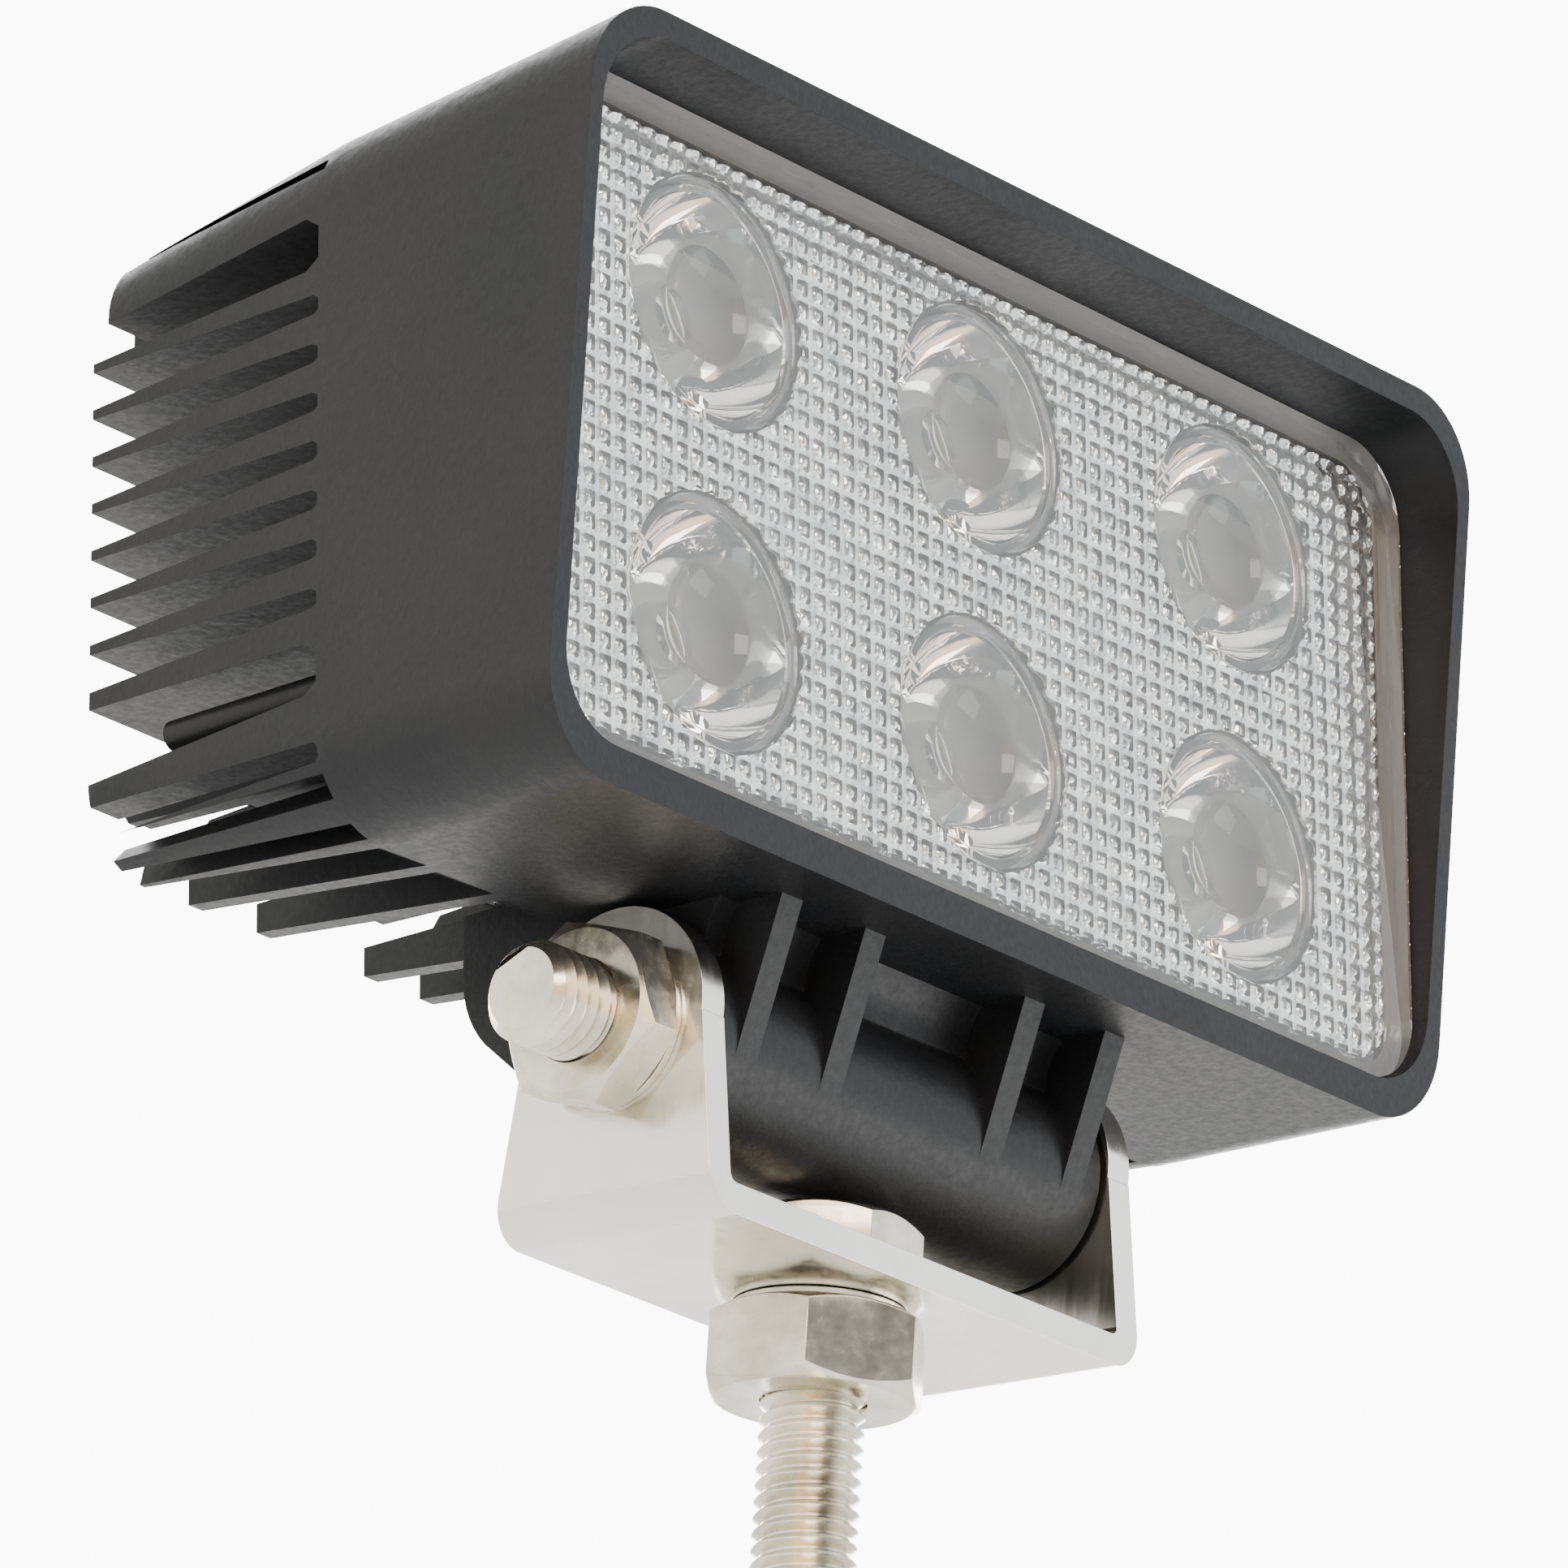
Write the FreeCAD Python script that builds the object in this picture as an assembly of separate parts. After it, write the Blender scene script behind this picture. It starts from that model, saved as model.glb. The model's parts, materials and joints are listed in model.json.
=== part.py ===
import FreeCAD, Part
import math
import os

# Rectangular six-lamp fog light on a U bracket with one mounting stud.
# Millimetres. The origin is on the stud's axis at the underside of the bracket's base, +Z up.
# The lamp itself is drawn in its own frame, with the pivot axis along X through its origin,
# the lens facing -Y, and is then turned and lifted onto the bracket by seat_lamp.

V = FreeCAD.Vector

# ---- driving dimensions -------------------------------------------------------------

# bracket
sheet = 2.5
bracket_width = 50.6
bend_radius = 3.2
ear_half = 8.5
ear_foot_half = 10.5
crown_radius = 8.45
crown_rise = 0.65
pivot_height = 15.1
rest_tilt = 5.0

# fasteners, all M8
thread_radius = 3.98
mounting_nut_flats = 15.4
mounting_nut_height = 6.6
pivot_nut_flats = 13.0
pivot_nut_height = 3.8
head_flats = 13.0
low_head_height = 4.2
button_radius = 6.9
button_height = 3.8
washer_radius = 6.6
washer_thickness = 0.6
stud_length = 32.5
neck_radius = 3.3
neck_top = -6.2
neck_height = 1.0
pivot_bolt_length = 61.0
end_chamfer = 0.9
running_gap = 0.06
face_gap = 0.05
hexagon_chamfer = 0.96
head_turn = 8.0
mounting_nut_turn = 34.5
pivot_nut_turn = 15.5
button_rim = 0.5
button_socket_flats = 5.0
button_socket_depth = 2.3

# housing outline, from the front of the hood to the fin tips
front_top_y = -22.4
front_bottom_y = -16.8
band_end_y = 5.6
fin_tip_y = 28.9
front_half_width = 53.4
band_half_width = 52.2
rear_half_width = 51.0
front_low, front_high = 8.45, 67.8
band_low, band_high = 9.7, 65.5
rear_low, rear_high = 12.3, 61.5
front_corner, band_corner, rear_corner = 7.6, 7.2, 6.4

hood_slack = 3.0
cut_slack = 1.0

# lens window and the chamber behind it
window_mid_z = 38.4
window_half_width = 51.35
window_half_height = 26.65
window_corner = 6.2
hood_draft = 0.9
lens_face_y = -16.4
lens_thickness = 3.0
lens_gap = 0.15
gasket_thickness = 0.8
ledge_width = 1.7
chamber_corner = 4.0
floor_y = 0.9
pocket_half_width = 27.0
pocket_half_height = 12.0
pocket_back_y = 13.5
tray_gap = 0.4
tray_wall = 1.0

# optics
optic_pitch_x = 31.28
optic_pitch_z = 25.4
optic_rise = 0.4
optic_flange_radius = 9.9
optic_front_y = -13.1
optic_rim = 0.5
optic_window_gap = 0.15
led_half_width = 1.75
led_base_height = 0.9
led_dome_radius = 1.5

# LED board and its screws
board_front_y = -1.2
board_thickness = 1.6
board_half_width = 46.4
board_half_height = 21.9
board_corner = 2.0
pad_margin = 0.6
screw_side_x = 43.0
screw_inner_x = 15.64
screw_top_z = 18.8
screw_low_z = -18.4
screw_radius = 1.5
screw_length = 4.6
screw_head_radius = 2.6
screw_head_height = 1.6
screw_slot_half_length = 1.5
screw_slot_half_width = 0.35
screw_slot_depth = 0.9
board_hole_radius = 1.7
pad_hole_radius = 2.0

# driver board behind the LED board, and the two leads between them
driver_back_y = 12.4
driver_thickness = 1.6
driver_half_width = 24.0
driver_half_height = 10.6
driver_foot_radius = 1.4
driver_foot_x = 22.0
driver_foot_z = 8.6
inductor_x = -13.5
inductor_half = 4.5
inductor_height = 5.0
inductor_cap_radius = 3.6
inductor_cap_height = 0.4
capacitor_foot_half = 3.3
capacitor_foot_height = 0.8
capacitor_radius = 3.1
capacitor_height = 7.2
input_capacitor_x = -3.0
output_capacitor_x = 6.0
chip_x = 17.5
chip_half_length = 2.5
chip_half_width = 2.0
chip_height = 1.5
chip_leg_reach = 1.0
chip_leg_half = 0.2
chip_leg_pitch = 1.0
lead_x = 22.0
lead_offset = 1.0
lead_radius = 0.7
lead_foot_length = 4.0
lead_slot_half = 2.0

# cooling fins
groove_pitch = 3.88
groove_front_height = 1.5
groove_rear_height = 3.05
groove_mid_z = 38.65
slit_front_z = 61.3
slit_rear_z = 59.8
slit_height = 0.9
rear_spread = 0.972
side_groove_depth = 8.0
# extra grooves: height of the middle over groove_mid_z in front and behind, and the two widths
wide_grooves = ((16.6, 14.8, 4.2, 2.6), (-17.1, -17.2, 4.0, 6.0), (-23.6, -22.9, 1.4, 2.2))
corner_slot_turns = (46.0, 74.0)
corner_slot_root = 2.7
corner_slot_reach = 16.0
corner_slot_half_front = 0.8
corner_slot_half_rear = 1.2
core_back_y = 16.0
plate_positions = (6.4, 12.8, 19.2, 31.4, 39.0)
plate_thickness = 1.6
plate_end_margin = 5.6
lower_slot_depth = 10.0
upper_slot_depth = 7.4
heel_low = 2.6
heel_depth = 5.0
groove_nose = 0.6
edge_slit_depth = 4.5
upper_corner_step = 2.8
upper_fin_step = 1.5
upper_fin_low = 15.0
pillar_radius = 1.2
pillar_inset = 2.4
pillar_drop = 17.2
pillar_length = 18.0

# pivot boss
barrel_radius = 8.0
barrel_half_length = 22.4
gusset_thickness = 2.4
gusset_positions = (-19.2, -9.5, 9.5, 19.2)
gusset_front_y = -12.6
gusset_top_z = 10.8
gusset_nose = 0.3
gusset_nose_z = 9.5
gusset_foot = (-7.46, -2.89)
web_front_arc = ((-10.0, 10.6), (-7.2, 8.2), (-6.2, 5.4))
web_rear_arc = ((14.2, 2.2), (16.2, 4.8), (17.0, 8.0))
web_top_z = 13.5
web_low_y = 6.4
web_low_z = -5.2

# cable gland at the rear
gland_z = 29.6
gland_thread_radius = 6.0
gland_well_radius = 11.2
gland_thread_length = 4.4
gland_flange_flats = 16.0
gland_flange_height = 4.0
gland_mouth_length = 8.0
gland_socket_radius = 4.9
gland_socket_start = 3.0
gland_seal_length = 5.3
gland_nut_start = 4.6
gland_nut_flats = 14.6
gland_nut_inner = 6.05
gland_nut_outer = 7.9
gland_nut_mouth = 4.1
gland_turn = 30.0
cable_radius = 3.25
cable_gap = 0.4

# ---- helpers ------------------------------------------------------------------------


def box(x0, x1, y0, y1, z0, z1):
    return Part.makeBox(x1 - x0, y1 - y0, z1 - z0, V(x0, y0, z0))


def rod(radius, start, direction, length):
    return Part.makeCylinder(radius, length, V(*start), V(*direction))


def prism(points, extrusion):
    wire = Part.makePolygon([V(*p) for p in points] + [V(*points[0])])
    return Part.Face(wire).extrude(V(*extrusion))


# Revolve (radius, height) points about Z, then turn the solid by axis_turn and move it
def turned(points, centre, axis_turn):
    wire = Part.makePolygon([V(r, 0, h) for r, h in points] + [V(points[0][0], 0, points[0][1])])
    solid = Part.Face(wire).revolve(V(0, 0, 0), V(0, 0, 1), 360)
    if axis_turn:
        solid.rotate(V(0, 0, 0), V(*axis_turn[0]), axis_turn[1])
    solid.translate(V(*centre))
    return solid


along_y = ((1, 0, 0), -90)   # turns +Z to +Y
along_x = ((0, 1, 0), 90)    # turns +Z to +X


# A rounded rectangle in the plane at y, the same edges in the same order every time
def rounded_outline(half_width, low, high, corner, y):
    w, c = half_width, corner
    k = c * (1 - math.sqrt(0.5))
    edges = [
        Part.makeLine(V(-w + c, y, low), V(w - c, y, low)),
        Part.Arc(V(w - c, y, low), V(w - k, y, low + k), V(w, y, low + c)).toShape(),
        Part.makeLine(V(w, y, low + c), V(w, y, high - c)),
        Part.Arc(V(w, y, high - c), V(w - k, y, high - k), V(w - c, y, high)).toShape(),
        Part.makeLine(V(w - c, y, high), V(-w + c, y, high)),
        Part.Arc(V(-w + c, y, high), V(-w + k, y, high - k), V(-w, y, high - c)).toShape(),
        Part.makeLine(V(-w, y, high - c), V(-w, y, low + c)),
        Part.Arc(V(-w, y, low + c), V(-w + k, y, low + k), V(-w + c, y, low)).toShape(),
    ]
    return Part.Wire(edges)


def rounded_block(half_width, half_height, corner, y0, y1, mid_z=window_mid_z):
    wire = rounded_outline(half_width, mid_z - half_height, mid_z + half_height, corner, y0)
    return Part.Face(wire).extrude(V(0, y1 - y0, 0))


# Turn a lamp-frame shape to the rest tilt and lift it onto the bracket's pivot
def seat_lamp(shape):
    seated = shape.copy()
    seated.rotate(V(0, 0, 0), V(1, 0, 0), -rest_tilt)
    seated.translate(V(0, 0, pivot_height))
    return seated


# (x, z) of the six optics, top row first, left to right as seen from the front
def optic_places():
    for row in (1, -1):
        for column in (-1, 0, 1):
            yield column * optic_pitch_x, window_mid_z + optic_rise + row * optic_pitch_z / 2


# ---- housing ------------------------------------------------------------------------


# Half width, bottom, top and corner radius of the tapered body at depth y
def outline_at(y):
    if y <= band_end_y:
        s = (y - front_top_y) / (band_end_y - front_top_y)
        ends = ((front_half_width, band_half_width), (front_low, band_low),
                (front_high, band_high), (front_corner, band_corner))
    else:
        s = (y - band_end_y) / (fin_tip_y - band_end_y)
        ends = ((band_half_width, rear_half_width), (band_low, rear_low),
                (band_high, rear_high), (band_corner, rear_corner))
    return [a + (b - a) * s for a, b in ends]


def body_block(y0, y1):
    sections = [rounded_outline(*outline_at(y), y) for y in (y0, y1)]
    return Part.makeLoft(sections, True, True)


# Everything in front of the slanted face of the hood
def front_cutter():
    reach = 4 * hood_slack
    side = front_half_width + reach
    slope = (front_bottom_y - front_top_y) / (front_low - front_high)
    low_z, high_z = front_low - reach, front_high + reach
    low_y = front_bottom_y + slope * (low_z - front_low)
    high_y = front_top_y + slope * (high_z - front_high)
    far_y = front_top_y - 2 * reach
    points = [(-side, low_y, low_z), (-side, high_y, high_z), (-side, far_y, high_z), (-side, far_y, low_z)]
    return prism(points, (2 * side, 0, 0))


# Hood recess with its draft, the lens seat, the chamber and the driver pocket
def lens_opening():
    recess_y = front_top_y - 2 * cut_slack
    grow = hood_draft
    recess = Part.makeLoft([
        rounded_outline(window_half_width + grow, window_mid_z - window_half_height - grow,
                        window_mid_z + window_half_height + grow, window_corner + grow, recess_y),
        rounded_outline(window_half_width, window_mid_z - window_half_height,
                        window_mid_z + window_half_height, window_corner, lens_face_y),
    ], True, True)
    seat_y = lens_face_y + lens_thickness + gasket_thickness
    seat = rounded_block(window_half_width, window_half_height, window_corner, lens_face_y, seat_y)
    chamber = rounded_block(window_half_width - ledge_width, window_half_height - ledge_width,
                            chamber_corner, seat_y, floor_y)
    pocket = rounded_block(pocket_half_width, pocket_half_height, chamber_corner,
                           floor_y, pocket_back_y)
    return recess.fuse([seat, chamber, pocket])


# The solid heart of the body between the grooves, seen from above
def core_plan():
    deep = side_groove_depth
    w = band_half_width
    points = [
        (-w + deep, band_end_y - cut_slack, 0), (-w + deep, band_end_y + 2 * cut_slack, 0),
        (-w + 2 * deep, core_back_y, 0), (w - 2 * deep, core_back_y, 0),
        (w - deep, band_end_y + 2 * cut_slack, 0), (w - deep, band_end_y - cut_slack, 0),
    ]
    return prism(points, (0, 0, front_high + hood_slack))


# One horizontal groove round both sides and across the rear
def level_groove(offset, rear_offset, front_height, rear_height):
    front_z = groove_mid_z + offset
    rear_z = groove_mid_z + rear_offset
    far_y = fin_tip_y + cut_slack
    side = front_half_width + hood_slack
    nose = front_height / 2
    tip = nose * groove_nose
    points = [
        (-side, band_end_y, front_z - tip), (-side, band_end_y, front_z + tip),
        (-side, band_end_y + tip, front_z + nose), (-side, far_y, rear_z + rear_height / 2),
        (-side, far_y, rear_z - rear_height / 2), (-side, band_end_y + tip, front_z - nose),
    ]
    return prism(points, (2 * side, 0, 0))


def level_grooves():
    plain = [level_groove(k * groove_pitch, k * groove_pitch * rear_spread,
                          groove_front_height, groove_rear_height) for k in range(-3, 4)]
    wide = [level_groove(*groove) for groove in wide_grooves]
    grooves = plain[0].multiFuse(plain[1:] + wide)
    return grooves.cut(core_plan())


# Slots between the upright plates under (side -1) or over (side +1) the rear body
def plate_grooves(side):
    edges = sorted([-x for x in plate_positions] + [0.0] + list(plate_positions))
    end_x = rear_half_width - plate_end_margin
    edges = [-end_x] + edges + [end_x]
    if side < 0:
        root_front, root_rear, out = band_low, rear_low + lower_slot_depth, band_low - hood_slack
    else:
        root_front, root_rear, out = band_high, rear_high - upper_slot_depth, band_high + hood_slack
    far_y = fin_tip_y + cut_slack
    slots = []
    for left, right in zip(edges, edges[1:]):
        points = [(0, band_end_y, root_front), (0, far_y, root_rear), (0, far_y, out), (0, band_end_y, out)]
        slot = prism(points, (right - left - plate_thickness, 0, 0))
        slot.translate(V(left + plate_thickness / 2, 0, 0))
        slots.append(slot)
    return slots


# The wedge that slants the rear edges of the lower plates
def heel_cut():
    end_x = rear_half_width - plate_end_margin
    low_z, high_z = rear_low + heel_low, rear_low + lower_slot_depth
    far_y = fin_tip_y + cut_slack
    points = [(-end_x, far_y, low_z), (-end_x, fin_tip_y - heel_depth, high_z), (-end_x, far_y, high_z)]
    return prism(points, (2 * end_x, 0, 0))


# Radial slots that carry the fins round the two lower corners of the body
def corner_grooves():
    slots = []
    far_y = fin_tip_y + cut_slack
    front, rear = corner_slot_half_front, corner_slot_half_rear
    for side in (-1, 1):
        for turn in corner_slot_turns:
            points = [(corner_slot_root, band_end_y, -front), (corner_slot_root, far_y, -rear),
                      (corner_slot_reach, far_y, -rear), (corner_slot_reach, band_end_y, -front)]
            slot = prism(points, (0, 0, front + rear))
            slot.rotate(V(0, 0, 0), V(0, 1, 0), turn)
            if side < 0:
                slot = slot.mirror(V(0, 0, 0), V(1, 0, 0))
            slot.translate(V(side * (rear_half_width - rear_corner), 0, rear_low + rear_corner))
            slots.append(slot)
    return slots


# The thin slit under each upper corner, and the corner's shorter rear end
def top_edge_grooves():
    cuts = []
    far_y = fin_tip_y + cut_slack
    for side in (-1, 1):
        x0, x1 = side * (rear_half_width - edge_slit_depth), side * (front_half_width + hood_slack)
        x0, x1 = min(x0, x1), max(x0, x1)
        points = [(x0, band_end_y, slit_front_z + slit_height), (x0, far_y, slit_rear_z + slit_height),
                  (x0, far_y, slit_rear_z), (x0, band_end_y, slit_front_z)]
        cuts.append(prism(points, (x1 - x0, 0, 0)))
        cuts.append(box(x0, x1, fin_tip_y - upper_corner_step, far_y, slit_rear_z, rear_high + hood_slack))
        cuts.append(box(x0, x1, fin_tip_y - upper_fin_step, far_y,
                        groove_mid_z + upper_fin_low, slit_rear_z + cut_slack))
    return cuts


# Thin casting pillars that stand in the lower wide groove, one each side
def corner_pillars():
    return [rod(pillar_radius, (side * (rear_half_width - pillar_inset), band_end_y - cut_slack,
                                groove_mid_z - pillar_drop), (0, 1, 0), pillar_length)
            for side in (-1, 1)]


# The cast root that carries the pivot barrel, concave in front and rounded behind
def boss_web():
    axis = V(0, 0, 0)
    front_high, front_middle, front_low = [V(0, y, z) for y, z in web_front_arc]
    rear_low, rear_middle, rear_high = [V(0, y, z) for y, z in web_rear_arc]
    heel = V(0, web_low_y, web_low_z)
    rear_top = V(0, rear_high.y, web_top_z)
    front_top = V(0, front_high.y, web_top_z)
    edges = [
        Part.Arc(front_high, front_middle, front_low).toShape(),
        Part.makeLine(front_low, axis),
        Part.makeLine(axis, heel),
        Part.makeLine(heel, rear_low),
        Part.Arc(rear_low, rear_middle, rear_high).toShape(),
        Part.makeLine(rear_high, rear_top),
        Part.makeLine(rear_top, front_top),
        Part.makeLine(front_top, front_high),
    ]
    web = Part.Face(Part.Wire(edges)).extrude(V(2 * barrel_half_length, 0, 0))
    web.translate(V(-barrel_half_length, 0, 0))
    return web


def gussets():
    plates = []
    for x in gusset_positions:
        points = [(0, gusset_front_y, gusset_top_z), (0, gusset_front_y + gusset_nose, gusset_nose_z),
                  (0, *gusset_foot), (0, 0, 0), (0, 0, gusset_top_z)]
        plate = prism(points, (gusset_thickness, 0, 0))
        plate.translate(V(x - gusset_thickness / 2, 0, 0))
        plates.append(plate)
    return plates


def housing():
    rear = body_block(band_end_y, fin_tip_y)
    cutters = [level_grooves()] + plate_grooves(-1) + plate_grooves(1)
    cutters += corner_grooves() + top_edge_grooves() + [heel_cut()]
    rear = rear.cut(cutters)
    rear = rear.fuse(corner_pillars())
    front = body_block(front_top_y - hood_slack, band_end_y).cut(front_cutter())
    barrel = rod(barrel_radius, (-barrel_half_length, 0, 0), (1, 0, 0), 2 * barrel_half_length)
    body = front.fuse([rear, barrel, boss_web()] + gussets())
    threads = at_screws(screw_radius, board_front_y, screw_length + cut_slack)
    body = body.cut([lens_opening()] + threads + gland_cuts())
    bore = rod(thread_radius + running_gap, (-bracket_width, 0, 0), (1, 0, 0), 2 * bracket_width)
    body = body.cut(bore)
    return body


# ---- inside the chamber -------------------------------------------------------------


def lens():
    cover = rounded_block(window_half_width - lens_gap, window_half_height - lens_gap,
                          window_corner, lens_face_y, lens_face_y + lens_thickness)
    return cover


def lens_gasket():
    y0 = lens_face_y + lens_thickness
    y1 = y0 + gasket_thickness
    ring = rounded_block(window_half_width - lens_gap, window_half_height - lens_gap,
                         window_corner, y0, y1)
    hole = rounded_block(window_half_width - ledge_width, window_half_height - ledge_width,
                         chamber_corner, y0 - cut_slack, y1 + cut_slack)
    return ring.cut(hole)


# A shallow bright tray: a front plate with six round windows and a skirt to the board
def reflector_tray():
    half_w = window_half_width - ledge_width - tray_gap
    half_h = window_half_height - ledge_width - tray_gap
    front_y = optic_front_y + tray_gap
    shell = rounded_block(half_w, half_h, chamber_corner, front_y, board_front_y)
    inside = rounded_block(half_w - tray_wall, half_h - tray_wall, chamber_corner - tray_wall,
                           front_y + tray_wall, board_front_y + cut_slack)
    windows = [rod(optic_flange_radius + optic_window_gap, (x, front_y - cut_slack, z), (0, 1, 0),
                   board_front_y - front_y) for x, z in optic_places()]
    return shell.cut([inside] + windows)


# One collimator: flange, tapered body, a dished front and a well for the emitter
def optic():
    deep = board_front_y - optic_front_y
    profile = [
        (0.0, 2.6), (4.2, 2.6), (5.0, optic_rim), (9.0, optic_rim), (9.0, 0.0), (optic_flange_radius, 0.0),
        (optic_flange_radius, 1.4), (9.3, 1.4), (8.4, 4.6), (6.9, 7.8), (4.7, deep - 1.0),
        (3.2, deep - 1.0), (2.9, deep - 5.0), (0.0, deep - 4.4),
    ]
    return turned(profile, (0, optic_front_y, 0), along_y)


# One emitter: ceramic base and silicone dome as one piece
def led():
    half = led_half_width
    base = box(-half, half, -led_base_height, 0.0, -half, half)
    ball = Part.makeSphere(led_dome_radius, V(0, -led_base_height, 0))
    dome = ball.common(box(-half, half, -2 * half, -led_base_height, -half, half))
    return base.fuse(dome)


def place_optic_shape(shape, x, z, y=0.0):
    placed = shape.copy()
    placed.translate(V(x, y, z))
    return placed


screw_places = [(-screw_side_x, 0.0), (screw_side_x, 0.0), (-screw_inner_x, screw_top_z),
                (screw_inner_x, screw_top_z), (-screw_inner_x, screw_low_z), (screw_inner_x, screw_low_z)]


# One rod on each screw's axis, starting at depth y
def at_screws(radius, y, length):
    return [rod(radius, (x, y, window_mid_z + z), (0, 1, 0), length) for x, z in screw_places]


def led_board():
    back_y = board_front_y + board_thickness
    board = rounded_block(board_half_width, board_half_height, board_corner, board_front_y, back_y)
    holes = at_screws(board_hole_radius, board_front_y - cut_slack, board_thickness + 2 * cut_slack)
    slot = box(lead_x - lead_slot_half, lead_x + lead_slot_half, board_front_y - cut_slack,
               back_y + cut_slack, window_mid_z - lead_slot_half, window_mid_z + lead_slot_half)
    return board.cut(holes + [slot])


def thermal_pad():
    front_y = board_front_y + board_thickness
    pad = rounded_block(board_half_width - pad_margin, board_half_height - pad_margin, board_corner,
                        front_y, floor_y)
    holes = at_screws(pad_hole_radius, front_y - cut_slack, 3 * cut_slack)
    pocket = rounded_block(pocket_half_width, pocket_half_height, chamber_corner,
                           front_y - cut_slack, floor_y + cut_slack)
    return pad.cut(holes + [pocket])


# Six pan-head screws that hold the board to the chamber floor
def board_screws():
    heads = at_screws(screw_head_radius, board_front_y - screw_head_height, screw_head_height)
    shanks = at_screws(screw_radius, board_front_y, screw_length)
    long, thin = screw_slot_half_length, screw_slot_half_width
    cross = box(-long, long, 0, screw_slot_depth, -thin, thin)
    cross = cross.fuse(box(-thin, thin, 0, screw_slot_depth, -long, long))
    screws = []
    for head, shank, (x, z) in zip(heads, shanks, screw_places):
        slot = cross.copy()
        slot.translate(V(x, board_front_y - screw_head_height, window_mid_z + z))
        screws.append(head.fuse(shank).cut(slot))
    return Part.makeCompound(screws)


driver_front_y = driver_back_y - driver_thickness


# A block on the front of the driver board, centred at (x, z) beside the window's middle
def board_block(x, half_x, z, half_z, height, gap=0.0):
    return box(x - half_x, x + half_x, driver_front_y - height, driver_front_y - gap,
               window_mid_z + z - half_z, window_mid_z + z + half_z)


def driver_board():
    board = rounded_block(driver_half_width, driver_half_height, cut_slack, driver_front_y, driver_back_y)
    feet = [rod(driver_foot_radius, (x, driver_back_y, window_mid_z + z), (0, 1, 0),
                pocket_back_y - driver_back_y)
            for x in (-driver_foot_x, driver_foot_x) for z in (-driver_foot_z, driver_foot_z)]
    return board.fuse(feet)


# Square shielded power inductor with its round cap
def driver_inductor():
    body = board_block(inductor_x, inductor_half, 0, inductor_half, inductor_height)
    cap_y = driver_front_y - inductor_height - inductor_cap_height
    cap = rod(inductor_cap_radius, (inductor_x, cap_y, window_mid_z), (0, 1, 0), 2 * inductor_cap_height)
    return body.fuse(cap)


# Round electrolytic can on its square foot
def driver_capacitor(x):
    foot = board_block(x, capacitor_foot_half, 0, capacitor_foot_half, capacitor_foot_height)
    can = rod(capacitor_radius, (x, driver_front_y - capacitor_height, window_mid_z), (0, 1, 0),
              capacitor_height - capacitor_foot_height / 2)
    return foot.fuse(can)


def driver_chip():
    body = board_block(chip_x, chip_half_length, 0, chip_half_width, chip_height, chip_leg_half / 2)
    legs = [board_block(chip_x, chip_half_length + chip_leg_reach, (k + 0.5) * chip_leg_pitch,
                        chip_leg_half, 2 * chip_leg_half) for k in (-2, -1, 0, 1)]
    return body.fuse(legs)


# A short insulated lead from the driver board up through the slot in the LED board
def board_lead(z_offset):
    z = window_mid_z + z_offset
    top_y = board_front_y - lead_radius
    rise_length = driver_front_y - top_y + lead_radius
    rise = rod(lead_radius, (lead_x, top_y - lead_radius, z), (0, 1, 0), rise_length)
    foot = rod(lead_radius, (lead_x, top_y - lead_radius / 4, z), (1, 0, 0), lead_foot_length)
    return rise.fuse(foot)


# ---- cable gland --------------------------------------------------------------------


# A rod or bore on the gland's axis
def gland_rod(radius, start_y, length):
    return rod(radius, (0, start_y, gland_z), (0, 1, 0), length)


def gland_cuts():
    well = gland_rod(gland_well_radius, core_back_y, core_back_y)
    hole = gland_rod(gland_thread_radius, pocket_back_y - 2 * cut_slack, core_back_y / 2)
    return [well, hole]


def hexagon(flats, height, turn=0.0):
    corner = flats / math.sqrt(3)
    points = []
    for k in range(6):
        angle = math.radians(60 * k + turn)
        points.append((corner * math.cos(angle), corner * math.sin(angle), 0))
    return prism(points, (0, 0, height))


# Hexagon whose corners are turned off at 30 degrees at one or both ends
def chamfered_hexagon(flats, height, turn=0.0, both_ends=True):
    corner = flats / math.sqrt(3)
    inner = flats / 2 * hexagon_chamfer
    reach = corner + face_gap / 5
    drop = (corner - inner) * math.tan(math.radians(30))
    low = drop if both_ends else 0.0
    low_radius = inner if both_ends else reach
    outline = [(0, 0), (low_radius, 0), (reach, low), (reach, height - drop),
               (inner, height), (0, height)]
    return hexagon(flats, height, turn).common(turned(outline, (0, 0, 0), None))


# Gland body: thread through the rear wall, a hexagon flange and the clamping mouth
def cable_gland():
    flange = chamfered_hexagon(gland_flange_flats, gland_flange_height, gland_turn)
    flange.rotate(V(0, 0, 0), V(*along_y[0]), along_y[1])
    flange.translate(V(0, core_back_y, gland_z))
    thread_start = pocket_back_y + 2 * face_gap
    thread = gland_rod(gland_thread_radius - running_gap / 2, thread_start, gland_thread_length)
    mouth = gland_rod(gland_thread_radius, core_back_y + gland_flange_height / 2,
                      gland_mouth_length - gland_flange_height / 2)
    bore = gland_rod(cable_radius + cable_gap, 0, 2 * fin_tip_y)
    socket = gland_rod(gland_socket_radius, core_back_y + gland_socket_start, gland_mouth_length)
    return flange.fuse([thread, mouth]).cut([bore, socket])


def gland_seal():
    ring = gland_rod(gland_socket_radius, core_back_y + gland_socket_start, gland_seal_length)
    return ring.cut(gland_rod(cable_radius, 0, 2 * fin_tip_y))


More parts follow.
